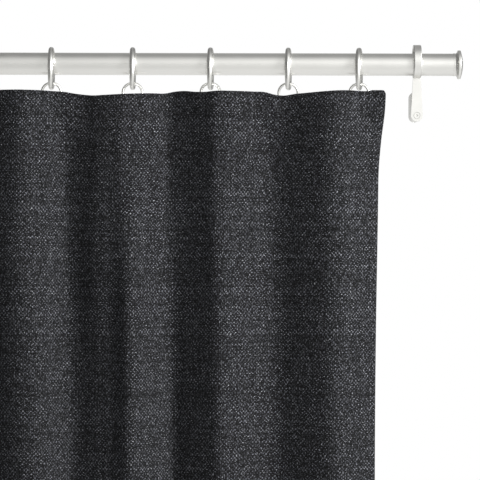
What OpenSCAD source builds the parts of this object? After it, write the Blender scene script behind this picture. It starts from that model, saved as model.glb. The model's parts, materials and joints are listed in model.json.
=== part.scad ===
// Curtain panel on a wall-mounted rod: tube rod with flared end caps, two loop brackets,
// eleven rings with linked eyelets and drapery pins, one woven panel with a heading tape.
// Millimetres. +X runs along the rod to the right as seen from the room, +Y goes into the
// wall, +Z is up. The origin is the middle of the four wall-screw holes, on the wall's face.

/* [Rod] */
// Outer diameter of the rod
rod_d = 25.4; // [25:0.1:26]
// Wall thickness of the rod tube
rod_wall = 1.2; // [1:0.1:2]
// Length of the rod tube between its end caps
rod_len = 1095; // [1080:1:1300]
// Distance from the wall to the rod's axis
wall_gap = 38; // [34:1:60]
// Height of the rod's axis above the middle of the wall screws
rod_rise = 46.75; // [46:0.25:50]

/* [End caps] */
// Largest diameter of an end cap
cap_d = 32.7; // [32:0.1:36]
// How far an end cap stands out past the tube
cap_len = 11; // [10.6:0.1:12]

/* [Brackets] */
// Distance between the two brackets
bracket_span = 1012; // [1004:1:1060]
// Inner diameter of the loop that carries the rod
loop_id = 32.2; // [31:0.1:34]
// Thickness of the loop's strap
strap_t = 3; // [2.5:0.1:4]
// Width of the loop's strap along the rod
strap_w = 8.6; // [8:0.1:10]
// Thickness of the flat leg below the loop
leg_t = 4; // [3.5:0.1:5]
// Width of the leg at its rounded foot
leg_foot_w = 13.6; // [13:0.1:15]
// Width of the wall post
post_w = 13; // [12:0.1:13.6]
// Height of the wall post
post_h = 34.5; // [34:0.1:36]
// Distance between the two screw holes of one anchor plate
screw_pitch = 16; // [14:1:16]

/* [Rings] */
// Wire thickness of a curtain ring
ring_wire = 6; // [5:0.1:6.2]
// Inner diameter of a curtain ring
ring_id = 37; // [36:0.5:39]
// Wire thickness of the eyelet linked into a ring
eyelet_wire = 3; // [2.5:0.1:3]
// Outer diameter of the eyelet
eyelet_od = 25; // [24:0.5:26]
// Wire thickness of a drapery pin
pin_wire = 1.6; // [1.4:0.1:1.8]
// Distance from the first ring to the last
ring_span = 880; // [860:10:900]

/* [Panel] */
// Height of the panel from its top edge to its hem
panel_h = 2134; // [1500:1:2700]
// How far the panel reaches past its end rings
panel_lap = 30; // [26:1:34]
// Thickness of the cloth
cloth_t = 1.4; // [1.2:0.1:1.8]
// Depth of a fold from its crest to its valley, below the heading
fold_depth = 32; // [20:1:38]
// Height of the heading tape
tape_h = 36; // [30:1:38]

/* [Hidden] */
$fn = 64;

metal = "gainsboro";
rod_y = -wall_gap;
rod_r = rod_d / 2;
gap = 0.3;

// Bracket: the rod lies on the bottom of the loop, so the loop's centre is above its axis
seat_gap = 0.05;
loop_or = loop_id / 2 + strap_t;
loop_z = rod_rise + loop_id / 2 - rod_r - seat_gap;
leg_top_z = loop_z - loop_id / 2 - 0.9;
leg_top_w = 8.8;
leg_front_y = rod_y - leg_t / 2;
leg_back_y = rod_y + leg_t / 2;
foot_z = -post_h / 2 + post_w / 2 - 0.7;
screw_r = 2;
screw_head_r = 3.4;
counterbore_r = 3.8;
counterbore_h = 2.2;
wall_screw_r = 2.1;
pocket_w = 8.6;
pocket_h = post_h - 4.4;
pocket_deep = 14;
plate_t = 4;
plate_play = 0.2;
grub_r = 1.5;

// Rings hang on the top of the rod, eyelets hang in the rings, pins hang in the eyelets
ring_cr = ring_id / 2 + ring_wire / 2;
ring_z = rod_rise + rod_r + 0.5 - ring_id / 2;
ring_count = 11;
ring_nudge = [0, 0, 0, 0, 0, 0, 0, 5, 6, 7, 0];
ring_yaw = [3, -2, 1, 4, -3, 2, -2, -1, 2, 4, 7];
ring_x = [for (i = [0 : ring_count - 1])
  -ring_span / 2 + i * ring_span / (ring_count - 1) + ring_nudge[i]];
eyelet_cr = (eyelet_od - eyelet_wire) / 2;
hinge_z = ring_z - ring_id / 2 + eyelet_wire / 2 + gap;
link_z = hinge_z - 2 * eyelet_cr;
arch_r = eyelet_wire / 2 + gap + pin_wire / 2;
pin_leg_y = rod_y - arch_r;
pin_bend_r = 3.2;
pin_front_y = pin_leg_y - 2 * pin_bend_r;
pin_bend_z = rod_rise - 88;
pin_tip_z = rod_rise - 58;
pin_room = 1.3;
cloth_back_y = pin_front_y - pin_wire / 2 - pin_room;
cloth_y = cloth_back_y - cloth_t / 2;

// Panel: folds run between these places along the rod, first a valley, then a crest, and so on
fold_x = [-478, -405, -345, -287, -231, -168, -113, -58, -2, 52, 106, 167, 223, 273, 346, 407, 478];
panel_top_z = rod_rise - 32.5;
panel_x = ring_span / 2 + panel_lap;
// Shares of the hanging fold's depth that the heading keeps, and that a pin can follow
heading_share = 0.75;
pin_share = 0.5;
// Distances below the top edge at which the cloth's shape is given
row_drop = [0, 60, 100, 150, 210, 290, 420, panel_h];
heading_end = 60;
heading_blend = 360;
side_pull = 12;
columns = 96;
tape_t = 1;
tape_stand = 4;
tape_gap = 0.05;
tape_lip = 1.5;
tape_top_z = panel_top_z - 16;

function fold_at(x, i = 0) = i < len(fold_x) - 2 && x > fold_x[i + 1] ? fold_at(x, i + 1) : i;

// Depth of the hanging folds at x: positive towards the wall
function fold(x) =
  let (i = fold_at(x), u = (x - fold_x[i]) / (fold_x[i + 1] - fold_x[i]))
  (i % 2 == 0 ? 1 : -1) * fold_depth / 2 * cos(180 * u);

// The heading is flatter than the folds, and passes each ring where its pin hangs
function pin_shift(i) = pin_share * fold(ring_x[i]);
function ring_line(x) = lookup(x, [for (rx = ring_x) [rx, fold(rx)]]);
function heading(x) = heading_share * fold(x) - (heading_share - pin_share) * ring_line(x);

function ease(t) = t <= 0 ? 0 : t >= 1 ? 1 : t * t * (3 - 2 * t);
function cloth_depth(x, drop) =
  let (t = ease((drop - heading_end) / heading_blend)) (1 - t) * heading(x) + t * fold(x);
function cloth_x(x, drop) = x * (1 - side_pull / panel_x * ease((drop - heading_end) / 120));

module along_rod() { rotate([0, 90, 0]) children(); }

// Extrudes an outline drawn in X and Z from y0 back to y1
module slab(y0, y1) {
  translate([0, y1, 0]) rotate([90, 0, 0]) linear_extrude(y1 - y0) children();
}

module obround(w, h) {
  for (s = [-1, 1]) translate([0, s * (h - w) / 2]) circle(d = w);
  square([w, h - w], center = true);
}

module torus(cr, r) { rotate_extrude() translate([cr, 0]) circle(r); }

module rod_tube() {
  color(metal) translate([0, rod_y, rod_rise]) along_rod() difference() {
    cylinder(h = rod_len, r = rod_r, center = true);
    cylinder(h = rod_len + 2, r = rod_r - rod_wall, center = true);
  }
}

// Half outline of an end cap: radius across, distance past the tube's end up
module cap_outline() {
  rim_r = cap_d / 2;
  collar = 1.6;
  flare = 3.3;
  rim = 3.3;
  edge = 0.6;
  face = collar + flare + rim;
  crown = cap_len - face;
  face_r = rim_r - edge;
  crown_r = (face_r * face_r + crown * crown) / (2 * crown);
  translate([0, -18]) square([rod_r - rod_wall - 0.1, 18.5]);
  square([rod_r + 0.3, collar]);
  difference() {
    translate([0, collar]) square([face_r, flare]);
    translate([face_r + 0.2, collar]) circle(flare);
  }
  translate([0, face - rim]) square([face_r, rim]);
  translate([0, face - rim + edge]) square([rim_r, rim - 2 * edge]);
  for (z = [face - rim + edge, face - edge]) translate([face_r, z]) circle(edge);
  intersection() {
    translate([0, face - 0.5]) square([face_r, crown + 1]);
    translate([0, cap_len - crown_r]) circle(crown_r, $fn = 360);
  }
}

module end_cap(side) {
  color(metal) translate([side * rod_len / 2, rod_y, rod_rise])
    rotate([0, side * 90, 0]) rotate_extrude() cap_outline();
}

// Closed strap that the rod passes through, with rounded edges
module strap_loop() {
  edge = 0.9;
  along_rod() rotate_extrude() {
    for (r = [loop_id / 2 + edge, loop_or - edge], z = [-1, 1])
      translate([r, z * (strap_w / 2 - edge)]) circle(edge);
    translate([loop_id / 2 + edge, -strap_w / 2]) square([strap_t - 2 * edge, strap_w]);
    translate([loop_id / 2, edge - strap_w / 2]) square([strap_t, strap_w - 2 * edge]);
  }
}

// Leg that widens from the loop to a round foot; its sides are tangent to the foot
module leg_outline() {
  r = leg_foot_w / 2;
  l = leg_top_z - foot_z;
  a = asin(r / norm([l, leg_top_w / 2])) - atan2(leg_top_w / 2, l);
  translate([0, foot_z]) circle(r);
  polygon([for (s = [-1, 1], p = s < 0 ? [0, 1] : [1, 0])
    p == 0 ? [s * leg_top_w / 2, leg_top_z] : [s * r * cos(a), foot_z + r * sin(a)]]);
}

// Turns what points along +Z so that it points up and back, square to the rod
module lock_axis() { translate([0, rod_y, rod_rise]) rotate([-45, 0, 0]) children(); }

// Distance from the rod's axis to the outside of the loop, along the lock screw
function lock_reach() =
  let (d = (loop_z - rod_rise) * cos(45)) d + sqrt(loop_or * loop_or - d * d);

module bracket_hook(side) {
  color(metal) translate([side * bracket_span / 2, 0, 0]) difference() {
    union() {
      translate([0, rod_y, loop_z]) strap_loop();
      slab(leg_front_y, leg_back_y) leg_outline();
    }
    slab(leg_front_y - 1, leg_back_y + 1) translate([0, foot_z]) circle(screw_r + 0.15);
    slab(leg_front_y - 1, leg_front_y + counterbore_h)
      translate([0, foot_z]) circle(counterbore_r);
    lock_axis() cylinder(h = lock_reach() + 2, r = screw_r + 0.05);
  }
}

module wall_post(side) {
  color(metal) translate([side * bracket_span / 2, 0, 0]) difference() {
    slab(leg_back_y, 0) obround(post_w, post_h);
    slab(-pocket_deep, 1) obround(pocket_w, pocket_h);
    slab(leg_back_y - 1, leg_back_y + 15) translate([0, foot_z]) circle(screw_r + 0.05);
    translate([0, -plate_t / 2, -post_h / 2 - 1]) cylinder(h = 6, r = grub_r + 0.05);
  }
}

module anchor_plate(side) {
  color("lightgray") translate([side * bracket_span / 2, 0, 0]) slab(-plate_t, 0) difference() {
    obround(pocket_w - 2 * plate_play, pocket_h - 2 * plate_play);
    for (z = [-1, 1]) translate([0, z * screw_pitch / 2]) circle(wall_screw_r);
  }
}

// Hexagon socket of a given width across its flats, cut down from z
module hex_socket(across, deep, z) {
  translate([0, 0, z - deep]) cylinder(h = deep + 1, d = across / cos(30), $fn = 6);
}

module leg_screw(side) {
  head_h = counterbore_h - 0.3;
  color(metal) translate([side * bracket_span / 2, leg_front_y + counterbore_h, foot_z])
    rotate([90, 0, 0]) difference() {
      union() {
        cylinder(h = head_h, r = screw_head_r);
        translate([0, 0, -14]) cylinder(h = 14.5, r = screw_r);
      }
      hex_socket(2.5, 1.4, head_h);
    }
}

module post_grub_screw(side) {
  top = -pocket_h / 2 + plate_play - 0.05;
  color("darkgray") translate([side * bracket_span / 2, -plate_t / 2, 0]) mirror([0, 0, 1])
    difference() {
      translate([0, 0, -top]) cylinder(h = post_h / 2 + top - 0.2, r = grub_r);
      hex_socket(1.5, 1, post_h / 2 - 0.2);
    }
}

module rod_lock_screw(side) {
  from = rod_r + seat_gap;
  end = lock_reach() + 0.4;
  color("darkgray") translate([side * bracket_span / 2, 0, 0]) lock_axis() difference() {
    translate([0, 0, from]) cylinder(h = end - from, r = screw_r);
    hex_socket(2, 1.6, end);
  }
}

module ring(i) {
  color(metal) translate([ring_x[i], rod_y, ring_z])
    rotate([0, 0, -ring_yaw[i]]) along_rod() torus(ring_cr, ring_wire / 2);
}

// The eyelet leans about the point where it hangs, as far as its pin is out of line
module eyelet(i) {
  color(metal) translate([ring_x[i], rod_y, hinge_z])
    rotate([asin(pin_shift(i) / (2 * eyelet_cr)), 0, 0])
      translate([0, 0, -eyelet_cr]) rotate([90, 0, 0]) torus(eyelet_cr, eyelet_wire / 2);
}

// Half a turn of pin wire in the plane of Y and Z, over the top or under the bottom
module pin_turn(r, over) {
  rotate([0, 0, 90]) rotate([over ? 90 : -90, 0, 0])
    rotate_extrude(angle = 180) translate([r, 0]) circle(pin_wire / 2);
}

module pin_leg(y, z0, z1) {
  translate([0, y, z0]) cylinder(h = z1 - z0, d = pin_wire);
}

module drapery_pin(i) {
  lift = 2 * eyelet_cr * (1 - cos(asin(pin_shift(i) / (2 * eyelet_cr))));
  color("silver") translate([ring_x[i], pin_shift(i), lift]) {
    translate([0, rod_y, link_z]) pin_turn(arch_r, true);
    pin_leg(rod_y + arch_r, link_z - 10, link_z);
    translate([0, rod_y + arch_r, link_z - 10]) sphere(d = pin_wire);
    pin_leg(pin_leg_y, pin_bend_z, link_z);
    translate([0, pin_leg_y - pin_bend_r, pin_bend_z]) pin_turn(pin_bend_r, false);
    pin_leg(pin_front_y, pin_bend_z, pin_tip_z);
    translate([0, pin_front_y, pin_tip_z]) cylinder(h = 4, d1 = pin_wire, d2 = 0.4);
  }
}

// The panel: front face, back face, then the four edges, row by row
module curtain_cloth() {
  n = columns + 1;
  rows = len(row_drop);
  sheet = n * rows;
  points = [for (side = [-1, 1], drop = row_drop, k = [0 : columns])
    let (x = column_x(k))
    [cloth_x(x, drop), cloth_y + cloth_depth(x, drop) + side * cloth_t / 2, panel_top_z - drop]];
  front = [for (r = [0 : rows - 2], k = [0 : columns - 1]) let (a = r * n + k)
    each [[a, a + 1, a + n + 1], [a, a + n + 1, a + n]]];
  back = [for (r = [0 : rows - 2], k = [0 : columns - 1]) let (a = sheet + r * n + k)
    each [[a, a + n + 1, a + 1], [a, a + n, a + n + 1]]];
  top = [for (k = [0 : columns - 1])
    each [[k, sheet + k, sheet + k + 1], [k, sheet + k + 1, k + 1]]];
  hem = [for (k = [0 : columns - 1]) let (a = (rows - 1) * n + k)
    each [[a, a + 1, sheet + a + 1], [a, sheet + a + 1, sheet + a]]];
  left = [for (r = [0 : rows - 2]) let (a = r * n)
    each [[a, a + n, sheet + a + n], [a, sheet + a + n, sheet + a]]];
  right = [for (r = [0 : rows - 2]) let (a = r * n + columns)
    each [[a, sheet + a + n, a + n], [a, sheet + a, sheet + a + n]]];
  color("darkslategray") polyhedron(points, concat(front, back, top, hem, left, right));
}

// Place of one of the cloth's columns along the rod
function column_x(k) = panel_x * (2 * k / columns - 1);

// Band behind the cloth's heading, between two distances from the cloth's back
module heading_band(from, to) {
  x = [for (k = [1 : columns - 1]) column_x(k)];
  polygon(concat(
    [for (u = x) [u, cloth_back_y + heading(u) + from]],
    [for (k = [len(x) - 1 : -1 : 0]) [x[k], cloth_back_y + heading(x[k]) + to]]));
}

// Stitched to the cloth by a lip at its top and one at its bottom, open below for each pin
module heading_tape() {
  color("dimgray") translate([0, 0, tape_top_z - tape_h]) {
    linear_extrude(tape_h) heading_band(tape_stand, tape_stand + tape_t);
    translate([0, 0, tape_h - tape_lip]) linear_extrude(tape_lip) heading_band(tape_gap, tape_stand + 0.1);
    linear_extrude(tape_lip) difference() {
      heading_band(tape_gap, tape_stand + 0.1);
      for (x = ring_x) translate([x, cloth_y]) square([8, 80], center = true);
    }
  }
}

rod_tube();
end_cap(-1);  // end_cap_left
end_cap(1);  // end_cap_right
bracket_hook(-1);  // bracket_hook_left
bracket_hook(1);  // bracket_hook_right
wall_post(-1);  // wall_post_left
wall_post(1);  // wall_post_right
anchor_plate(-1);  // anchor_plate_left
anchor_plate(1);  // anchor_plate_right
leg_screw(-1);  // leg_screw_left
leg_screw(1);  // leg_screw_right
post_grub_screw(-1);  // post_grub_screw_left
post_grub_screw(1);  // post_grub_screw_right
rod_lock_screw(-1);  // rod_lock_screw_left
rod_lock_screw(1);  // rod_lock_screw_right
ring(0);  // ring_01
ring(1);  // ring_02
ring(2);  // ring_03
ring(3);  // ring_04
ring(4);  // ring_05
ring(5);  // ring_06
ring(6);  // ring_07
ring(7);  // ring_08
ring(8);  // ring_09
ring(9);  // ring_10
ring(10);  // ring_11
eyelet(0);  // eyelet_01
eyelet(1);  // eyelet_02
eyelet(2);  // eyelet_03
eyelet(3);  // eyelet_04
eyelet(4);  // eyelet_05
eyelet(5);  // eyelet_06
eyelet(6);  // eyelet_07
eyelet(7);  // eyelet_08
eyelet(8);  // eyelet_09
eyelet(9);  // eyelet_10
eyelet(10);  // eyelet_11
drapery_pin(0);  // drapery_pin_01
drapery_pin(1);  // drapery_pin_02
drapery_pin(2);  // drapery_pin_03
drapery_pin(3);  // drapery_pin_04
drapery_pin(4);  // drapery_pin_05
drapery_pin(5);  // drapery_pin_06
drapery_pin(6);  // drapery_pin_07
drapery_pin(7);  // drapery_pin_08
drapery_pin(8);  // drapery_pin_09
drapery_pin(9);  // drapery_pin_10
drapery_pin(10);  // drapery_pin_11
curtain_cloth();
heading_tape();
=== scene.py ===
"""Curtain panel on a wall-mounted rod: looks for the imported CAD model, in metres and in its frame.

The metal parts are the CAD nodes with better materials. The panel, its hems, the heading tape
and the stitching are made here. The folds follow a list of turns and a formula for each face, the
top edge follows a list of heights, and a cloth simulation relaxes the panel a little.
"""
import json
import math

import bpy
import numpy as np
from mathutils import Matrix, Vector

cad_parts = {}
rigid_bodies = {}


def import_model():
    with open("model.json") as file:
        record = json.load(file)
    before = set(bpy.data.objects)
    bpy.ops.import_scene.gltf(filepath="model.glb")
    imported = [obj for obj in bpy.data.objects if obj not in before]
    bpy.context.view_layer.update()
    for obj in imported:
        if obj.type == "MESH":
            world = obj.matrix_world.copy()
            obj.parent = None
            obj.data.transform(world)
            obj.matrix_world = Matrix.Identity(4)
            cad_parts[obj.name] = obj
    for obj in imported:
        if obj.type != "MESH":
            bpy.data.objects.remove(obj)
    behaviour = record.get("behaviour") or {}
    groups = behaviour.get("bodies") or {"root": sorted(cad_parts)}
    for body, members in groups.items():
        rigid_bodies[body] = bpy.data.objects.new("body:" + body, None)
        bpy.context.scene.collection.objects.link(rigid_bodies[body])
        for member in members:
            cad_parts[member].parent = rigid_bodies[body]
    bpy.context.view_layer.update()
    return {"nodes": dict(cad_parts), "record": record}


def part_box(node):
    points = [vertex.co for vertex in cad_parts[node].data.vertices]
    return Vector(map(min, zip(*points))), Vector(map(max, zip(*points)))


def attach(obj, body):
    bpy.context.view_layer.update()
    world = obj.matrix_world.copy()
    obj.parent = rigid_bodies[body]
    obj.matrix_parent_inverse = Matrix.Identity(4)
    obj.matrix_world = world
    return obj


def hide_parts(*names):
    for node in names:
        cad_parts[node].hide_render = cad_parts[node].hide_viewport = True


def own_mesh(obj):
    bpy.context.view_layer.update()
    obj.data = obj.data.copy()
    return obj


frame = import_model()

MM = 0.001

# ---------------------------------------------------------------- measures from the frame

def centre(node):
    low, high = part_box(node)
    return [(a + b) / 2 for a, b in zip(low, high)]


RINGS = sorted(n for n in frame["nodes"] if n.startswith("ring_"))
PINS = sorted(n for n in frame["nodes"] if n.startswith("drapery_pin_"))
EYELETS = sorted(n for n in frame["nodes"] if n.startswith("eyelet_"))
_, ROD_Y, ROD_Z = centre("rod_tube")
RING_X = np.array([centre(n)[0] for n in RINGS])
CLOTH_LOW, CLOTH_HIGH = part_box("curtain_cloth")
TAPE_LOW, TAPE_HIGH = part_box("heading_tape")
TOP_Z = CLOTH_HIGH[2]
PANEL_H = CLOTH_HIGH[2] - CLOTH_LOW[2]
EDGE_X = CLOTH_HIGH[0]

# Distance from the front of a pin's box to the middle of the cloth, which lies before it
PIN_TO_CLOTH = 1.7 * MM
PIN_CLOTH_Y = np.array([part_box(n)[0][1] - PIN_TO_CLOTH for n in PINS])
EYELET_LOW = np.array([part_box(n)[0] for n in EYELETS])
EYELET_R = (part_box(EYELETS[0])[1][0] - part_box(EYELETS[0])[0][0]) / 2

# ---------------------------------------------------------------- the hanging shape

# Width of the finished panel when it is laid flat
FLAT_W = 1.118
CLOTH_T = 1.1 * MM
# From the middle of one layer to the middle of the next, where the cloth is turned back
LAYER = 1.4 * MM
# The plane that the folds swing about
CLOTH_Y = ROD_Y - 11.8 * MM
SIDE_HEM = 16 * MM
# How deep the folds are in the heading and below it, as a share of FOLD_Y
HEADING_SHARE, HANGING_SHARE = 0.9, 0.9
# The heading keeps its own line down to here, then changes to the hanging folds over the blend
HEADING_END, HEADING_BLEND = 50 * MM, 210 * MM
# Gap between the cloth and the eyelets behind it, how steeply the cloth may go back beside them,
# and how softly it turns there
EYELET_ROOM = 0.7 * MM
EYELET_SLOPE = 0.9
EYELET_SOFT = 1.6 * MM
# The top of the heading stays clear of the eyelets, and below it that fades
EYELET_ZONE, EYELET_FADE = 18 * MM, 40 * MM
# The side hem's own layers ease in over this width
HEM_FADE = 8 * MM
# How far to each side a ring's pin pulls the heading to itself
PIN_REACH = 48 * MM
# Half the flat stretch at a pin, and the width over which the folds come back beside it
PIN_FLAT, PIN_EASE = 2.5 * MM, 9 * MM
# Width of the panel when it is drawn aside, as a share of its width at rest
STACKED = 0.318
# The rings left of the photo, and those beside the deep fold that reaches up to the top edge
OUT_OF_VIEW = RING_X < 30 * MM
DEEP_FOLD_X = 225 * MM
BY_DEEP_FOLD = np.abs(RING_X - DEEP_FOLD_X) < 60 * MM

# Where the folds turn along the rod, and how far back: valley, crest, valley, and so on. Chosen in
# view by comparing the renders with the photo
FOLD_X = np.array([-478, -405, -345, -287, -231, -168, -113, -58, -2,
                   52, 103, 172, 223, 277, 341, 408, 478]) * MM
FOLD_Y = np.array([15, -16, 17, -15, 16, -17, 15, -16, 17,
                   -16, 20, -19, 16, -16, 16, -16, 17]) * MM
# How softly each face bends near its valley and near its crest, as a share of the face's width
VALLEY_BEND = np.array([0.3, 0.2, 0.12, 0.2, 0.16, 0.12, 0.16, 0.2,
                        0.12, 0.10, 0.10, 0.07, 0.10, 0.16, 0.20, 0.3])
CREST_BEND = np.array([0.3, 0.4, 0.16, 0.3, 0.2, 0.4, 0.18, 0.3,
                       0.2, 0.4, 0.06, 0.8, 0.08, 0.22, 0.12, 0.5])
# Places along the top edge, and how far it hangs there below the CAD cloth's top, or above it where
# the value is negative. From 91 to 446 mm these are measured, not designed: they began as readings
# of the photo's top edge at even steps, and were then adjusted one by one. The other places are listed
# here, nearly all of them out of view
SAG_X = np.array([-470, -440, -400, -375, -352, -330, -308, -285, -264, -225, -205, -176, -150, -125,
                  -100, -60, -40, -10, 20, 60, 91, 103, 115, 126, 137, 149, 172, 183, 206, 217,
                  229, 240, 252, 263, 275, 297, 320, 332, 343, 354, 366, 377, 400, 423, 446, 470]) * MM
SAG = np.array([0.6, 0, 3.2, 1.8, 0.4, 1.6, 4.2, 2.6, 0.3, 3.2, 2.0, 0, 2.6, 3.8,
                1.4, 0, 2.2, 1.2, 0, 0.1, 0.3, 1.0, 3.0, 4.4, 5.4, 5.0, 4.1, 3.5, 2.5, 2.3,
                0.1, -0.4, 0.9, 1.4, 0.5, 0.3, 0.3, 0.6, 3.6, 4.7, 3.0, 2.3, 0.8, -0.4, -0.3, -0.3]) * MM


# The valley that opens lower down, counted from 0 at the left side: by how much of a face's width
# its bend grows, and how much shallower it gets for that
WIDE_VALLEY = 5
WIDER = 0.38
SHALLOWER = 0.8
# Where one fold leans over, and how wide a stretch goes with it
LEANING_X, LEAN_WIDTH = 82 * MM, 60 * MM
# Below the top edge, where the lean and the wide valley begin, and over what height they grow
LOWER, LOWER_EASE = 0.15, 0.2

# The top edge's line fades further down: to about 37% of its height at this distance
SAG_FADE = 0.15


def ease(t):
    t = np.clip(t, 0, 1)
    return t * t * (3 - 2 * t)


def drift(x, drop):
    """How far a fold has moved to the right at a distance below the top edge."""
    slant = 16 * MM * (1 - np.exp(-drop / 0.9))
    waver = 5 * MM * ease(drop / 0.6) * np.sin(9 * x + 2.4 * drop)
    # One fold leans further over than the rest
    lean = 11 * MM * ease((drop - LOWER) / LOWER_EASE) * np.exp(-((x - LEANING_X) / LEAN_WIDTH) ** 2)
    return lean + slant + waver


def fold(x, rounder=0):
    """Depth of the folds at x: positive towards the wall, straight faces between round turns. The
    wide valley is rounder by the share given, and shallower with it."""
    i = np.clip(np.searchsorted(FOLD_X, x) - 1, 0, len(FOLD_X) - 2)
    u = np.clip((x - FOLD_X[i]) / (FOLD_X[i + 1] - FOLD_X[i]), 0, 1)
    u = np.where(i % 2 == 0, u, 1 - u)
    rounder = rounder * ((i + 1) // 2 == WIDE_VALLEY)
    valley, crest = VALLEY_BEND[i] + rounder, CREST_BEND[i]

    def face(v):
        at_valley = valley * (np.exp(-v / valley) - 1)
        at_crest = crest * (np.exp((v - 1) / crest) - np.exp(-1 / crest))
        return v + at_valley - at_crest

    turned = face(u) / face(np.ones_like(u))
    valley_y = FOLD_Y[(i + 1) // 2 * 2] * (1 - SHALLOWER * rounder)
    crest_y = FOLD_Y[i // 2 * 2 + 1]
    return valley_y * (1 - turned) + crest_y * turned


def ring_line(x):
    """What the heading gives up near each ring so that it passes the ring's pin."""
    miss = HEADING_SHARE * fold(RING_X) - (PIN_CLOTH_Y - CLOTH_Y)
    near = 1 - ease(np.abs(np.asarray(x)[..., None] - RING_X) / PIN_REACH)
    return (miss * near).sum(-1) / np.maximum(near.sum(-1), 1)


def clear_of_eyelets(x, back):
    """Keeps the top edge, two layers thick, in front of the eyelets that hang behind it, and most
    of it so far to both sides that it is still in front of them when the panel is drawn aside."""
    limit = EYELET_LOW[:, 1] - EYELET_ROOM - LAYER - CLOTH_T / 2 - CLOTH_Y
    # The turned side hems add two layers
    hem = 1 - ease((EDGE_X - np.abs(x) - SIDE_HEM) / HEM_FADE)
    reach = EYELET_R / np.where(BY_DEEP_FOLD, 1, STACKED)
    beside = np.maximum(np.abs(np.asarray(x)[..., None] - RING_X) - reach, 0)
    room = (limit + EYELET_SLOPE * beside).min(-1) - 2 * LAYER * hem
    return room - EYELET_SOFT * np.logaddexp(0, (room - back) / EYELET_SOFT)


def flat_at_pins(x, back):
    """Holds the heading flat at the pins out of view, so that they don't cut through it when the
    panel is drawn aside."""
    for ring, pin in zip(RING_X[OUT_OF_VIEW], (PIN_CLOTH_Y - CLOTH_Y)[OUT_OF_VIEW]):
        back = pin + (back - pin) * ease((np.abs(x - ring) - PIN_FLAT) / PIN_EASE)
    return back


def depth(x, drop):
    """Distance of the cloth from its middle plane, towards the wall."""
    heading = flat_at_pins(x, HEADING_SHARE * fold(x) - ring_line(x))
    near_top = 1 - ease((drop - EYELET_ZONE) / EYELET_FADE)
    heading += near_top * (clear_of_eyelets(x, heading) - heading)
    swell = 1 + 0.10 * np.sin(6.1 * x + 1.9 * drop + 0.7) + 0.05 * np.sin(17 * x - 3.1 * drop)
    hanging = HANGING_SHARE * fold(x - drift(x, drop), WIDER * ease((drop - LOWER) / LOWER_EASE))
    hanging *= 1 + (swell - 1) * ease(drop / 0.8)
    ripple = 1.2 * MM * np.sin(41 * x + 5 * np.sin(2.2 * drop)) * np.sin(3.3 * drop + 5 * x)
    t = ease((drop - HEADING_END) / HEADING_BLEND)
    return (1 - t) * heading + t * (hanging + ripple)


def half_width(drop):
    """Half the hung panel's width: it narrows quickly in the heading, and slowly further down."""
    quick = 7.3 * MM * ease(drop / 0.1)
    slow = 3.5 * MM * ease(drop / 0.45)
    return EDGE_X - 1.2 * MM - quick - slow


def sag(x, drop):
    """How far the cloth hangs below its CAD top, or above it where negative, most at the top edge."""
    i = np.clip(np.searchsorted(SAG_X, x) - 1, 0, len(SAG_X) - 2)
    slope = np.gradient(SAG, SAG_X)
    w = SAG_X[i + 1] - SAG_X[i]
    t = (x - SAG_X[i]) / w
    low = ((1 + 2 * t) * (1 - t) ** 2 * SAG[i] + t * (1 - t) ** 2 * w * slope[i]
           + t * t * (3 - 2 * t) * SAG[i + 1] + t * t * (t - 1) * w * slope[i + 1])
    return low * np.exp(-drop / SAG_FADE)


# Points along a row that is measured along its curve
FINE = 1600


def row_at(drop):
    """Points along one row, a function of the share of the flat width: x, y and the way along."""
    edge = half_width(drop)
    x = np.linspace(-edge, edge, FINE)
    y = CLOTH_Y + depth(x, drop)
    run = np.concatenate([[0], np.cumsum(np.hypot(np.diff(x), np.diff(y)))])
    return run / run[-1], x, y, np.gradient(y, x)


def base_point(share, drop):
    """Places on the cloth's middle surface at shares of its width, with the way along and back."""
    run, x, y, slope = row_at(drop)
    px, py = np.interp(share, run, x), np.interp(share, run, y)
    k = np.interp(share, run, slope)
    long = np.hypot(1, k)
    along = np.stack([1 / long, k / long, 0 * k], 1)
    back = np.stack([-k / long, 1 / long, 0 * k], 1)
    place = np.stack([px, py, TOP_Z - drop - sag(px, drop)], 1)
    return place, along, back


# ---------------------------------------------------------------- meshes

def new_object(name, points, faces, uv=None):
    mesh = bpy.data.meshes.new(name)
    mesh.from_pydata([tuple(p) for p in points], [], faces)
    if uv is not None:
        layer = mesh.uv_layers.new(name="Cloth")
        index = np.empty(len(mesh.loops), dtype=np.int32)
        mesh.loops.foreach_get("vertex_index", index)
        layer.data.foreach_set("uv", np.asarray(uv, dtype=np.float32)[index].ravel())
    mesh.polygons.foreach_set("use_smooth", [True] * len(mesh.polygons))
    mesh.update()
    made = bpy.data.objects.new(name, mesh)
    bpy.context.collection.objects.link(made)
    return made


def grid_faces(rows, columns):
    """Quads between neighbouring points of a grid that is listed row by row."""
    at = np.arange(rows * columns).reshape(rows, columns)
    return np.stack([at[:-1, :-1], at[1:, :-1], at[1:, 1:], at[:-1, 1:]], -1).reshape(-1, 4).tolist()


def apply_modifiers(obj):
    bpy.context.view_layer.update()
    seen = obj.evaluated_get(bpy.context.evaluated_depsgraph_get())
    mesh = bpy.data.meshes.new_from_object(seen)
    obj.modifiers.clear()
    obj.data = mesh
    return obj


def thicken(obj, thickness):
    """Gives a sheet its thickness, half to each side."""
    m = obj.modifiers.new("Thickness", "SOLIDIFY")
    m.thickness, m.offset, m.use_even_offset = thickness, 0, True
    return apply_modifiers(obj)


def dress(obj, material, body):
    obj.data.materials.clear()
    obj.data.materials.append(material)
    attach(obj, body)
    return obj


# ---------------------------------------------------------------- cloth simulation

SIM_COLUMNS, SIM_ROWS = 105, 180
SIM_FRAMES = 24
# A point moves less than this, however far the simulation takes it
SIM_CAP = 6 * MM


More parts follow.
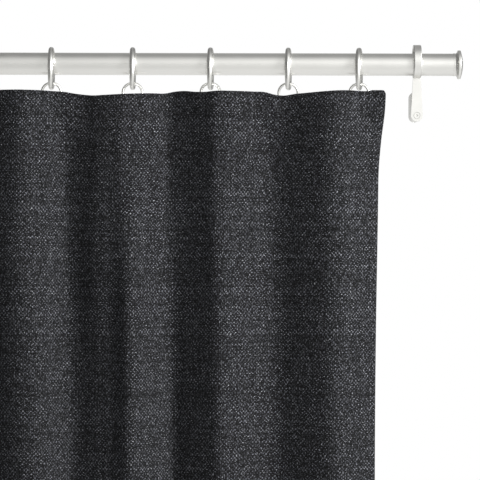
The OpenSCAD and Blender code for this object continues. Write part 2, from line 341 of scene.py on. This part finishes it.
def relax():
    """Lets a coarse copy of the panel hang from its heading; returns how its points moved."""
    share = np.linspace(0, 1, SIM_COLUMNS)
    drops = np.linspace(0, PANEL_H, SIM_ROWS)
    rest = np.stack([base_point(share, d)[0] for d in drops])
    obj = new_object("relaxing", rest.reshape(-1, 3), grid_faces(SIM_ROWS, SIM_COLUMNS))
    held = obj.vertex_groups.new(name="Held")
    # The heading tape keeps the top stiff; below it the cloth is free
    in_tape = np.repeat(TOP_Z - drops > TAPE_LOW[2], SIM_COLUMNS)
    held.add(np.flatnonzero(in_tape).tolist(), 1.0, "REPLACE")
    cloth = obj.modifiers.new("Cloth", "CLOTH")
    s = cloth.settings
    s.quality, s.mass, s.air_damping = 6, 0.3, 1
    s.tension_stiffness = s.compression_stiffness = 120
    s.shear_stiffness, s.bending_stiffness = 20, 0.5
    s.vertex_group_mass = "Held"
    s.effector_weights.gravity = 0.3
    cloth.collision_settings.use_collision = False
    cloth.collision_settings.use_self_collision = False
    cloth.point_cache.frame_start, cloth.point_cache.frame_end = 1, SIM_FRAMES
    scene = bpy.context.scene
    for f in range(1, SIM_FRAMES + 1):
        scene.frame_set(f)
    seen = obj.evaluated_get(bpy.context.evaluated_depsgraph_get())
    moved = np.empty(len(obj.data.vertices) * 3)
    seen.data.vertices.foreach_get("co", moved)
    scene.frame_set(1)
    move = moved.reshape(rest.shape) - rest
    far = np.linalg.norm(move, axis=-1, keepdims=True)
    move *= SIM_CAP / np.hypot(far, SIM_CAP)
    bpy.data.objects.remove(obj)
    print("cloth moved", round(float(far.max()) / MM, 2), "mm at most,",
          round(float(far.mean()) / MM, 2), "mm on average")
    return drops, share, move


def surface(field, share, drop):
    """Places on the cloth's middle surface after the simulation, and the ways along and back that it
    had before."""
    place, along, back = base_point(share, drop)
    if field is not None:
        drops, shares, move = field
        r = np.clip(np.searchsorted(drops, drop) - 1, 0, len(drops) - 2)
        t = np.clip((drop - drops[r]) / (drops[r + 1] - drops[r]), 0, 1)
        line = move[r] * (1 - t) + move[r + 1] * t
        place += np.stack([np.interp(share, shares, line[:, k]) for k in range(3)], 1)
    return place, along, back


# ---------------------------------------------------------------- the panel and its hems

# Radius of the panel's two top corners
CORNER = 2.6 * MM
BOTTOM_HEM = 100 * MM
TOP_TURN = 19 * MM
# Angles of the points on a turned edge, between its flat front and its flat back
TURN = [math.pi * (k + 1) / 6 for k in range(5)]
# Beside the corner, the columns are even from here on, and there are this many
FIRST_EVEN, EVEN_COLUMNS = 6 * MM / FLAT_W, 239


def from_side(share):
    """Distance along the cloth to its nearer side edge."""
    return np.minimum(share, 1 - share) * FLAT_W


def side_layers(share):
    """1 where a side hem lies behind the cloth, 0 further in, eased in between."""
    return 1 - ease((from_side(share) - SIDE_HEM) / (6 * MM))


def panel_columns():
    """Columns of the cut sheet: share of the width, angle of the side's turn, which side."""
    hem = [SIDE_HEM / FLAT_W * k / 4 for k in range(5)]
    corner = [CORNER / FLAT_W * (1 - math.cos(math.pi / 2 * k / 5)) for k in range(1, 6)]
    inner = np.linspace(FIRST_EVEN, 1 - FIRST_EVEN, EVEN_COLUMNS)
    columns = [(h, math.pi, -1) for h in reversed(hem)] + [(0, a, -1) for a in reversed(TURN)]
    columns += [(0, 0, 0)] + [(s, 0, 0) for s in corner] + [(s, 0, 0) for s in inner]
    columns += [(1 - s, 0, 0) for s in reversed(corner)] + [(1, 0, 0)]
    columns += [(1, a, 1) for a in TURN] + [(1 - h, math.pi, 1) for h in hem]
    return np.array(columns).T


def panel_rows():
    """Rows of the cut sheet: distance below the top edge, angle of the turn, which end."""
    drops = [0, 2 * MM, 4 * MM, *np.arange(0.006, 0.12, 0.006), *np.arange(0.12, 0.42, 0.010),
             *np.linspace(0.42, PANEL_H, 106)]
    rows = [(TOP_TURN * k / 4, math.pi, -1) for k in (4, 3, 2, 1, 0)]
    rows += [(0, a, -1) for a in reversed(TURN)]
    rows += [(d, 0, 0) for d in drops]
    rows += [(PANEL_H, a, 1) for a in TURN]
    return rows + [(PANEL_H - BOTTOM_HEM * k / 8, math.pi, 1) for k in range(9)]


def panel_grid(field):
    """The whole cut sheet: points, faces and flat places, with its sides, top and bottom turned back."""
    share, c_angle, c_side = panel_columns()
    edge_off = LAYER / 2 * (1 - np.cos(c_angle))
    edge_out = LAYER / 2 * np.sin(c_angle) * c_side
    end_share = (c_side > 0).astype(float)
    flat_x = np.where(c_side == 0, share, end_share) * FLAT_W
    flat_x += c_side * (np.abs(end_share - share) * FLAT_W + c_angle * LAYER / 2)
    # A turned end goes round the side hems too
    fold_r = LAYER / 2 * (1 + 2 * side_layers(share))
    arm = fold_r - edge_off
    # The top corners are a little round
    inset = np.clip(1 - from_side(share) / CORNER, 0, 1)
    rounded = CORNER * (1 - np.sqrt(1 - inset ** 2))
    points, flat = [], []
    rows = panel_rows()
    for drop, angle, end in rows:
        place, along, back = surface(field, share, drop)
        off = fold_r - arm * math.cos(angle) if end else edge_off
        place += along * edge_out[:, None] + back * off[:, None]
        place[:, 2] -= rounded * max(0, 1 - drop / (3 * CORNER)) + arm * math.sin(angle) * end
        points.append(place)
        # Down the flat cloth: a turned end goes on past the edge where it turns
        edge_z = PANEL_H if end > 0 else 0
        flat_z = edge_z + end * (abs(edge_z - drop) + angle * LAYER / 2) if end else drop
        flat.append(np.stack([flat_x, np.full_like(flat_x, -flat_z)], 1))
    return np.concatenate(points), grid_faces(len(rows), len(share)), np.concatenate(flat)


def make_panel(field, material):
    points, faces, flat = panel_grid(field)
    panel = new_object("curtain_panel", points, faces, flat)
    thicken(panel, CLOTH_T)
    dress(panel, material, "curtain")
    # The metal shows the studio's soft tones alone
    panel.visible_glossy = False
    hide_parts("curtain_cloth")
    return panel


# ---------------------------------------------------------------- heading tape

TAPE_T = 0.9 * MM
# From the middle of the cloth to the middle of the tape: in general, and at its stitched edges
TAPE_OFF = 4.8 * MM
TOP_LIP, LOW_LIP = 2.9 * MM, 1.3 * MM
LIP_SHARE = 0.12
# The pockets between the lines of the tape
POCKET_PITCH, POCKET_DEPTH = 12.7 * MM, 0.35 * MM
# The tape stops a little short of the panel's sides, as a share of the width
TAPE_INSET = 0.006
# Points along one row of the tape
TAPE_COLUMNS = 761
TAPE_H = TAPE_HIGH[2] - TAPE_LOW[2]
TAPE_FROM_TOP = TOP_Z - TAPE_HIGH[2]


def tape_off(share, x, v):
    """Distance from the cloth's middle back to the tape's, at a share v of the tape's height."""
    at_pin = np.exp(-(np.abs(x[:, None] - RING_X).min(-1) / (5 * MM)) ** 4)
    top_lip = 1 - ease(v / LIP_SHARE)
    low_lip = ease((v - 1 + LIP_SHARE) / LIP_SHARE) * (1 - at_pin)
    pocket = POCKET_DEPTH * np.cos(2 * np.pi * share * FLAT_W / POCKET_PITCH)
    pocket *= ease(v / 0.2) * ease((1 - v) / 0.2)
    off = TAPE_OFF - top_lip * (TAPE_OFF - TOP_LIP) - low_lip * (TAPE_OFF - LOW_LIP) + pocket
    # Over the side hems it lies on their folded layers
    return off + side_layers(share) * LAYER * (2 - 1.1 * ease((v - LIP_SHARE) / 0.5))


def tape_line(field, v, share):
    """Places on one row of the tape's middle, nowhere nearer to the cloth than its distance there,
    with the ways along and back. Each place on the cloth keeps a disc free, and the tape runs behind
    the discs, so it doesn't cross itself where the cloth bends sharply."""
    at = np.linspace(TAPE_INSET, 1 - TAPE_INSET, FINE)
    cloth, _, back = surface(field, at, TAPE_FROM_TOP + v * TAPE_H)
    off = tape_off(at, cloth[:, 0], v)
    first, last = (cloth + back * off[:, None])[[0, -1], 0]
    x = np.linspace(first, last, FINE)
    inside = off ** 2 - (x[:, None] - cloth[:, 0]) ** 2
    y = np.where(inside > 0, cloth[:, 1] + np.sqrt(np.maximum(inside, 0)), -1).max(-1)
    # A bend no sharper than the tape can make: a mean over neighbouring points
    reach = 6
    weight = np.exp(-(np.arange(-reach, reach + 1) / 2.4) ** 2)
    y = np.convolve(np.pad(y, reach, mode="edge"), weight / weight.sum(), mode="valid")
    run = np.concatenate([[0], np.cumsum(np.hypot(np.diff(x), np.diff(y)))])
    run = TAPE_INSET + run / run[-1] * (1 - 2 * TAPE_INSET)
    px = np.interp(share, run, x)
    place = np.stack([px, np.interp(share, run, y), np.interp(px, cloth[:, 0], cloth[:, 2])], 1)
    k = np.interp(share, run, np.gradient(y, x))
    long = np.hypot(1, k)
    return place, np.stack([1 / long, k / long, 0 * k], 1), np.stack([-k / long, 1 / long, 0 * k], 1)


def make_tape(field, material):
    """A woven strip behind the heading, stitched at its top and bottom and open at each pin."""
    share = np.linspace(TAPE_INSET, 1 - TAPE_INSET, TAPE_COLUMNS)
    points, flat = [], []
    rows = [*np.linspace(0, 0.16, 7), *np.linspace(0.2, 0.8, 9), *np.linspace(0.84, 1, 7)]
    for v in rows:
        points.append(tape_line(field, v, share)[0])
        flat.append(np.stack([share * FLAT_W, np.full_like(share, -v * TAPE_H)], 1))
    tape = new_object("heading_tape_woven", np.concatenate(points),
                      grid_faces(len(rows), len(share)), np.concatenate(flat))
    thicken(tape, TAPE_T)
    dress(tape, material, "curtain")
    tape.visible_glossy = False
    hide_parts("heading_tape")
    return tape


# ---------------------------------------------------------------- stitching

THREAD_R = 0.28 * MM
STITCH, STITCH_PITCH = 3.4 * MM, 6.5 * MM
# The tape's lower line is open this far to each side of a pin
PIN_OPENING = 7 * MM
# The side lines stop this far from the tape and from the bottom hem
STITCH_GAP = 6 * MM
# Points round a thread
ROUND = 6


def stitches_on(centres, ways, backs, length):
    """Short raised threads: rings of points along each stitch, closed at both ends."""
    ring = [2 * math.pi * k / ROUND for k in range(ROUND)]
    # Along the stitch, how thick it is there, and how far it stands off the cloth
    profile = [(-0.5, 0.35, -0.5), (-0.3, 0.9, 0.35), (0, 1, 0.6), (0.3, 0.9, 0.35), (0.5, 0.35, -0.5)]
    across = np.cross(backs, ways)
    points = []
    for at, wide, rise in profile:
        middle = centres + ways * at * length + backs * rise * THREAD_R
        points += [middle + THREAD_R * wide * (across * math.cos(a) + backs * math.sin(a)) for a in ring]
    size = len(profile) * ROUND
    points = np.stack(points, 1).reshape(-1, 3)
    one = []
    for r in range(0, size - ROUND, ROUND):
        for k in range(ROUND):
            after = (k + 1) % ROUND
            one.append((r + k, r + after, r + ROUND + after, r + ROUND + k))
    one += [tuple(reversed(range(ROUND))), tuple(range(size - ROUND, size))]
    return points, [tuple(i + size * n for i in face) for n in range(len(centres)) for face in one]


def stitches_down(field, share, drops, off):
    """A line of stitches that runs down a side, on a layer behind the cloth: places, ways, backs."""
    line = [surface(field, np.array([share]), drop) for drop in drops]
    backs = np.concatenate([back for _, _, back in line])
    places = np.concatenate([place for place, _, _ in line])
    return places + backs * off, np.tile([0.0, 0.0, -1.0], (len(drops), 1)), backs


def make_stitching(field, material):
    """Lines of stitches on the back: both edges of the tape, the side hems and the bottom hem."""
    hem_back = LAYER + CLOTH_T / 2
    lines = []
    for v in (0.035, 0.965):
        place, along, back = tape_line(field, v, np.linspace(0.01, 0.99, 270))
        # The pins go in from below, so the lower line is open there
        kept = (v < 0.5) | (np.abs(place[:, :1] - RING_X).min(-1) > PIN_OPENING)
        lines.append((place[kept] + back[kept] * TAPE_T / 2, along[kept], back[kept]))
    below_tape = TAPE_FROM_TOP + TAPE_H + STITCH_GAP
    drops = np.arange(below_tape, PANEL_H - BOTTOM_HEM - STITCH_GAP, STITCH_PITCH)
    for s in (SIDE_HEM - 3 * MM, FLAT_W - SIDE_HEM + 3 * MM):
        lines.append(stitches_down(field, s / FLAT_W, drops, hem_back))
    share = np.arange(SIDE_HEM + 8 * MM, FLAT_W - SIDE_HEM - 8 * MM, STITCH_PITCH) / FLAT_W
    place, along, back = surface(field, share, PANEL_H - BOTTOM_HEM + 4 * MM)
    lines.append((place + back * hem_back, along, back))
    points, faces = [], []
    for line in lines:
        line_points, line_faces = stitches_on(*line, STITCH)
        start = sum(map(len, points))
        faces += [tuple(i + start for i in face) for face in line_faces]
        points.append(line_points)
    stitching = new_object("panel_stitching", np.concatenate(points), faces)
    dress(stitching, material, "curtain")
    stitching.visible_glossy = False
    return stitching


# ---------------------------------------------------------------- materials

def clear_nodes(name):
    m = bpy.data.materials.new(name)
    m.use_nodes = True
    nodes, links = m.node_tree.nodes, m.node_tree.links
    nodes.clear()
    out = nodes.new("ShaderNodeOutputMaterial")
    shader = nodes.new("ShaderNodeBsdfPrincipled")
    links.new(shader.outputs["BSDF"], out.inputs["Surface"])
    return m, nodes, links, shader


def node(nodes, kind, **values):
    """A node with its inputs set by name, and its own settings by lower-case name."""
    made = nodes.new("ShaderNode" + kind)
    for key, value in values.items():
        if hasattr(made, key):
            setattr(made, key, value)
        else:
            made.inputs[key.replace("_", " ")].default_value = value
    return made


def satin_metal(name, colour, roughness, grain):
    """Plated metal: tiny differences of tone and gloss, and a fine satin grain."""
    m, nodes, links, shader = clear_nodes(name)
    shader.inputs["Metallic"].default_value = 1
    place = node(nodes, "TexCoord")
    cloud = node(nodes, "TexNoise", Scale=38, Detail=3)
    links.new(place.outputs["Object"], cloud.inputs["Vector"])
    tone = node(nodes, "ValToRGB")
    tone.color_ramp.elements[0].position, tone.color_ramp.elements[1].position = 0.3, 0.7
    tone.color_ramp.elements[0].color = (*[c * 0.97 for c in colour], 1)
    tone.color_ramp.elements[1].color = (*colour, 1)
    links.new(cloud.outputs["Fac"], tone.inputs["Fac"])
    links.new(tone.outputs["Color"], shader.inputs["Base Color"])
    gloss = node(nodes, "MapRange", From_Min=0.3, From_Max=0.7,
                 To_Min=roughness - 0.03, To_Max=roughness + 0.04)
    links.new(cloud.outputs["Fac"], gloss.inputs["Value"])
    links.new(gloss.outputs["Result"], shader.inputs["Roughness"])
    fine = node(nodes, "TexNoise", Scale=grain, Detail=2)
    links.new(place.outputs["Object"], fine.inputs["Vector"])
    bump = node(nodes, "Bump", Strength=0.05, Distance=0.0001)
    links.new(fine.outputs["Fac"], bump.inputs["Height"])
    links.new(bump.outputs["Normal"], shader.inputs["Normal"])
    return m


def woven(name, yarn, warp, weft, fleck, basket=2):
    """Basket weave on the flat cloth: groups of yarns cross over and under, with a tone for each yarn
    and each crossing, light flecks along the yarns and an uneven height. The colours are linear
    (dark, light) pairs."""
    m, nodes, links, shader = clear_nodes(name)
    shader.inputs["Roughness"].default_value = 0.9
    shader.inputs["Specular IOR Level"].default_value = 0.25
    shader.inputs["Sheen Weight"].default_value = 0.12
    shader.inputs["Sheen Roughness"].default_value = 0.4
    shader.inputs["Sheen Tint"].default_value = (0.75, 0.8, 1, 1)

    def math_of(operation, *values, clamp=False):
        made = node(nodes, "Math", operation=operation, use_clamp=clamp)
        for socket, value in zip(made.inputs, values):
            if isinstance(value, (int, float)):
                socket.default_value = value
            else:
                links.new(value, socket)
        return made.outputs["Value"]

    def blend(fac, a, b, kind="FLOAT"):
        made = node(nodes, "Mix", data_type=kind)
        slots = [i for i in made.inputs if i.enabled]
        for socket, value in zip(slots, (fac, a, b)):
            if isinstance(value, (int, float, tuple)):
                socket.default_value = value
            else:
                links.new(value, socket)
        return next(o for o in made.outputs if o.enabled)

    uv = node(nodes, "UVMap", uv_map="Cloth").outputs["UV"]
    # Yarns wander a little from straight
    wander = node(nodes, "TexNoise", noise_dimensions="2D", Scale=0.11 / yarn, Detail=1)
    links.new(uv, wander.inputs["Vector"])
    off = node(nodes, "VectorMath", operation="SUBTRACT")
    links.new(wander.outputs["Color"], off.inputs[0])
    off.inputs[1].default_value = (0.5, 0.5, 0.5)
    moved = node(nodes, "VectorMath", operation="SCALE")
    links.new(off.outputs["Vector"], moved.inputs[0])
    moved.inputs["Scale"].default_value = 1.1 * yarn
    place = node(nodes, "VectorMath", operation="ADD")
    links.new(uv, place.inputs[0])
    links.new(moved.outputs["Vector"], place.inputs[1])
    scaled = node(nodes, "VectorMath", operation="SCALE")
    links.new(place.outputs["Vector"], scaled.inputs[0])
    scaled.inputs["Scale"].default_value = 1 / yarn
    parts = node(nodes, "SeparateXYZ")
    links.new(scaled.outputs["Vector"], parts.inputs["Vector"])
    x, y = parts.outputs["X"], parts.outputs["Y"]
    column, row = math_of("FLOOR", x), math_of("FLOOR", y)
    group = math_of("ADD", math_of("FLOOR", math_of("DIVIDE", x, basket)),
                    math_of("FLOOR", math_of("DIVIDE", y, basket)))
    over = math_of("FLOORED_MODULO", group, 2.0)

    def random(a, b, kind="2D"):
        made = node(nodes, "TexWhiteNoise", noise_dimensions=kind)
        if kind == "1D":
            links.new(a, made.inputs["W"])
        else:
            both = node(nodes, "CombineXYZ")
            links.new(a, both.inputs["X"])
            links.new(b, both.inputs["Y"])
            links.new(both.outputs["Vector"], made.inputs["Vector"])
        return made.outputs["Value"]

    # Each yarn's own tone, then one tone for every crossing
    yarn_tone = blend(over, random(row, row, "1D"), random(column, column, "1D"))
    crossing = random(column, row)
    slub = node(nodes, "TexNoise", noise_dimensions="2D", Scale=0.35 / yarn, Detail=2)
    links.new(uv, slub.inputs["Vector"])
    tone = math_of("ADD", math_of("MULTIPLY", yarn_tone, 0.25), math_of("MULTIPLY", crossing, 0.75))
    # Flecks: short light fibres lying along the yarn on top
    stretch = node(nodes, "CombineXYZ")
    links.new(math_of("MULTIPLY", x, blend(over, 0.55, 1.3)), stretch.inputs["X"])
    links.new(math_of("MULTIPLY", y, blend(over, 1.3, 0.55)), stretch.inputs["Y"])
    flecks = node(nodes, "TexNoise", noise_dimensions="2D", Scale=1.0, Detail=2, Roughness=0.7)
    links.new(stretch.outputs["Vector"], flecks.inputs["Vector"])
    spot = node(nodes, "MapRange", From_Min=0.5, From_Max=0.75)
    links.new(flecks.outputs["Fac"], spot.inputs["Value"])
    light = math_of("MULTIPLY", math_of("MULTIPLY", spot.outputs["Result"], math_of("POWER", tone, 2.5)),
                    blend(over, 1.0, 0.35))
    skewed = math_of("POWER", tone, 3.2)
    base = blend(over, blend(skewed, (*weft[0], 1), (*weft[1], 1), "RGBA"),
                 blend(skewed, (*warp[0], 1), (*warp[1], 1), "RGBA"), "RGBA")
    colour = blend(light, base, (*fleck, 1), "RGBA")
    # Round yarns: the crown of the one on top. Painted shade darkens the colour in the gaps between
    # neighbours, and a painted highlight lightens it on the crowns
    across = blend(over, math_of("FRACT", y), math_of("FRACT", x))
    crown = math_of("SINE", math_of("MULTIPLY", across, math.pi))
    along = math_of("FRACT", math_of("DIVIDE", blend(over, x, y), basket))
    arch = math_of("SINE", math_of("MULTIPLY", along, math.pi))
    height = math_of("MULTIPLY", math_of("POWER", crown, 0.6),
                     math_of("ADD", math_of("MULTIPLY", arch, 0.7), 0.3))
    # Painted shade and highlight: the colour is scaled from 0.04 in the gaps between yarns to 1.42 on their
    # crowns
    shade = blend(math_of("POWER", height, 1.8), 0.04, 1.42)
    final = node(nodes, "VectorMath", operation="SCALE")
    links.new(colour, final.inputs[0])
    links.new(shade, final.inputs["Scale"])
    links.new(final.outputs["Vector"], shader.inputs["Base Color"])
    bump = node(nodes, "Bump", Strength=0.6, Distance=yarn * 0.4)
    links.new(math_of("ADD", height, math_of("MULTIPLY", slub.outputs["Fac"], 1.2)), bump.inputs["Height"])
    links.new(bump.outputs["Normal"], shader.inputs["Normal"])
    return m


def twisted_thread(name, colour):
    """Sewing thread: two plies twisted round each other, seen as slanted bands of painted shade in the
    grooves between them and painted highlight on their crowns.
    """
    m, nodes, links, shader = clear_nodes(name)
    shader.inputs["Roughness"].default_value = 0.6
    place = node(nodes, "TexCoord")
    plies = node(nodes, "TexWave", wave_type="BANDS", bands_direction="DIAGONAL", Scale=700, Distortion=1.5)
    links.new(place.outputs["Object"], plies.inputs["Vector"])
    # Painted shade and highlight: the bands scale the thread's colour from half in the grooves to 1.6 times
    # on the ply crowns
    tone = node(nodes, "ValToRGB")
    tone.color_ramp.elements[0].color = (*[c * 0.5 for c in colour], 1)
    tone.color_ramp.elements[1].color = (*[c * 1.6 for c in colour], 1)
    links.new(plies.outputs["Fac"], tone.inputs["Fac"])
    links.new(tone.outputs["Color"], shader.inputs["Base Color"])
    bump = node(nodes, "Bump", Strength=0.5, Distance=0.0001)
    links.new(plies.outputs["Fac"], bump.inputs["Height"])
    links.new(bump.outputs["Normal"], shader.inputs["Normal"])
    return m


# ---------------------------------------------------------------- room, light and camera

# Width of the view at the rod, then the camera's distance, its place along the rod, how far it is
# below the rod, and its roll
FRAME_W = 0.549
CAMERA_FAR = 2.4
CAMERA_X = 0.3042
CAMERA_DROP = 0.2010
CAMERA_ROLL = math.radians(-0.14)
SENSOR = 36
# The floor lies this far below the CAD panel
FLOOR_GAP = 20 * MM


def make_camera():
    data = bpy.data.cameras.new("camera")
    data.sensor_width = SENSOR
    data.lens = SENSOR * CAMERA_FAR / FRAME_W
    cam = bpy.data.objects.new("camera", data)
    cam.location = (CAMERA_X, ROD_Y - CAMERA_FAR, ROD_Z - CAMERA_DROP)
    cam.rotation_euler = (math.pi / 2, CAMERA_ROLL, 0)
    bpy.context.collection.objects.link(cam)
    bpy.context.scene.camera = cam


def area_light(name, place, look_at, size, watts):
    data = bpy.data.lights.new(name, "AREA")
    data.shape, data.size, data.size_y, data.energy = "RECTANGLE", size[0], size[1], watts
    lamp = bpy.data.objects.new(name, data)
    lamp.location = place
    lamp.rotation_euler = (Vector(look_at) - Vector(place)).to_track_quat("-Z", "Y").to_euler()
    lamp.visible_camera = False
    bpy.context.collection.objects.link(lamp)
    return lamp


def make_world():
    """White to the camera, soft studio tones to reflections, and to everything else a dim bluish
    grey that is brighter from behind the panel."""
    world = bpy.data.worlds.new("studio")
    bpy.context.scene.world = world
    world.use_nodes = True
    nodes, links = world.node_tree.nodes, world.node_tree.links
    nodes.clear()
    out = node(nodes, "OutputWorld")
    path = node(nodes, "LightPath")
    way = node(nodes, "TexCoord").outputs["Generated"]
    split = node(nodes, "SeparateXYZ")
    links.new(way, split.inputs["Vector"])

    def span(value, low, high, at_low, at_high):
        made = node(nodes, "MapRange", interpolation_type="SMOOTHSTEP",
                    From_Min=low, From_Max=high, To_Min=at_low, To_Max=at_high)
        links.new(value, made.inputs["Value"])
        return made.outputs["Result"]

    def times(a, b):
        made = node(nodes, "Math", operation="MULTIPLY")
        links.new(a, made.inputs[0])
        links.new(b, made.inputs[1])
        return made.outputs["Value"]

    # Tone by height, from straight down to straight up
    tones = node(nodes, "ValToRGB")
    tones.color_ramp.interpolation = "EASE"
    stops = tones.color_ramp.elements
    stops[0].position, stops[0].color = 0.0, (1.05, 1.05, 1.04, 1)
    stops[1].position, stops[1].color = 1.0, (0.9, 0.9, 0.89, 1)
    for at, c in ((0.07, 1.0), (0.3, 1.06), (0.5, 1.11), (0.56, 1.13), (0.7, 1.24), (0.9, 1.04)):
        stops.new(at).color = (c, c, c * 0.985, 1)
    links.new(span(split.outputs["Z"], -1, 1, 0, 1), tones.inputs["Fac"])
    # A dark ceiling, 25 degrees behind straight up. The middle is brightest, then the right, and the
    # left is darkest
    ceiling = node(nodes, "VectorMath", operation="DOT_PRODUCT")
    ceiling.inputs[1].default_value = (0, math.cos(math.radians(65)), math.sin(math.radians(65)))
    links.new(way, ceiling.inputs[0])
    dark = span(ceiling.outputs["Value"], 0.3, 0.92, 1, 0.4)
    middle = times(span(split.outputs["X"], -0.175, -0.025, 0, 1),
                   span(split.outputs["X"], -0.02, 0.09, 1, 0.55))
    upper = times(middle, span(split.outputs["Z"], -0.1, 0.3, 0.32, 0.75))
    side = node(nodes, "Math", operation="ADD")
    links.new(upper, side.inputs[0])
    links.new(span(split.outputs["Z"], -0.1, 0.3, 0.7, 0.5), side.inputs[1])
    # Dim to the right behind the rod and to the left in front of it, so that thin wires have dark
    # edges, and a little dimmer to the far left
    behind = span(times(split.outputs["X"], split.outputs["Y"]), 0.04, 0.3, 1, 0.3)
    far_left = span(split.outputs["X"], -0.9, -0.25, 0.55, 1)
    strength = times(times(dark, side.outputs["Value"]), times(behind, far_left))
    seen = node(nodes, "Background", Color=(1, 1, 1, 1), Strength=1.0)
    mirror = node(nodes, "Background")
    links.new(tones.outputs["Color"], mirror.inputs["Color"])
    links.new(strength, mirror.inputs["Strength"])
    fill = node(nodes, "Background", Color=(0.96, 0.98, 1, 1))
    links.new(span(split.outputs["Y"], -0.2, 0.8, 0.15, 0.7), fill.inputs["Strength"])
    glossy = node(nodes, "MixShader")
    links.new(path.outputs["Is Glossy Ray"], glossy.inputs["Fac"])
    links.new(fill.outputs["Background"], glossy.inputs[1])
    links.new(mirror.outputs["Background"], glossy.inputs[2])
    final = node(nodes, "MixShader")
    links.new(path.outputs["Is Camera Ray"], final.inputs["Fac"])
    links.new(glossy.outputs["Shader"], final.inputs[1])
    links.new(seen.outputs["Background"], final.inputs[2])
    links.new(final.outputs["Shader"], out.inputs["Surface"])


def make_floor():
    z = CLOTH_LOW[2] - FLOOR_GAP
    size = 6
    floor = new_object("floor", [(-size, -size, z), (size, -size, z), (size, size, z), (-size, size, z)],
                       [(0, 1, 2, 3)])
    m, nodes, links, shader = clear_nodes("floor_paint")
    shader.inputs["Base Color"].default_value = (0.82, 0.82, 0.81, 1)
    shader.inputs["Roughness"].default_value = 0.8
    floor.data.materials.append(m)
    floor.visible_glossy = False


# ---------------------------------------------------------------- put together

make_camera()
make_world()
make_floor()
area_light("key", (2.6, -1.7, 0.6), (0.2, -0.05, 0), (0.9, 1.6), 120)

satin = satin_metal("satin_nickel", (0.83, 0.825, 0.80), 0.36, 2600)
dark_screw = satin_metal("screw_steel", (0.55, 0.55, 0.55), 0.3, 2600)
zinc = satin_metal("zinc_plate", (0.66, 0.67, 0.68), 0.45, 1400)
wire = satin_metal("pin_steel", (0.72, 0.72, 0.72), 0.18, 2600)
cloth = woven("curtain_fabric", 1.15 * MM, warp=((0.0008, 0.0008, 0.001), (0.036, 0.037, 0.041)),
              weft=((0.001, 0.001, 0.0014), (0.266, 0.273, 0.324)), fleck=(0.95, 0.97, 1.0))
tape_cloth = woven("tape_fabric", 0.8 * MM, warp=((0.02, 0.02, 0.023), (0.05, 0.05, 0.056)),
                   weft=((0.02, 0.02, 0.023), (0.05, 0.05, 0.056)), fleck=(0.09, 0.09, 0.1), basket=1)
thread = twisted_thread("stitching_thread", (0.022, 0.022, 0.025))

by_slot = {"satin_nickel": satin, "screw_steel": dark_screw, "zinc_plate": zinc, "pin_steel": wire}
for part in frame["record"]["subparts"]:
    if part["material_slot"] in by_slot:
        bpy.data.objects[part["node"]].material_slots[0].material = by_slot[part["material_slot"]]

for side in ("left", "right"):
    edge = bpy.data.objects[f"bracket_hook_{side}"].modifiers.new("Soft edges", "BEVEL")
    edge.width, edge.segments, edge.limit_method, edge.angle_limit = 1.1 * MM, 3, "ANGLE", math.radians(50)

field = relax()
panel = make_panel(field, cloth)
tape = make_tape(field, tape_cloth)
stitching = make_stitching(field, thread)
for piece in (panel, tape, stitching):
    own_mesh(piece)

bpy.context.scene.view_settings.view_transform = "Standard"
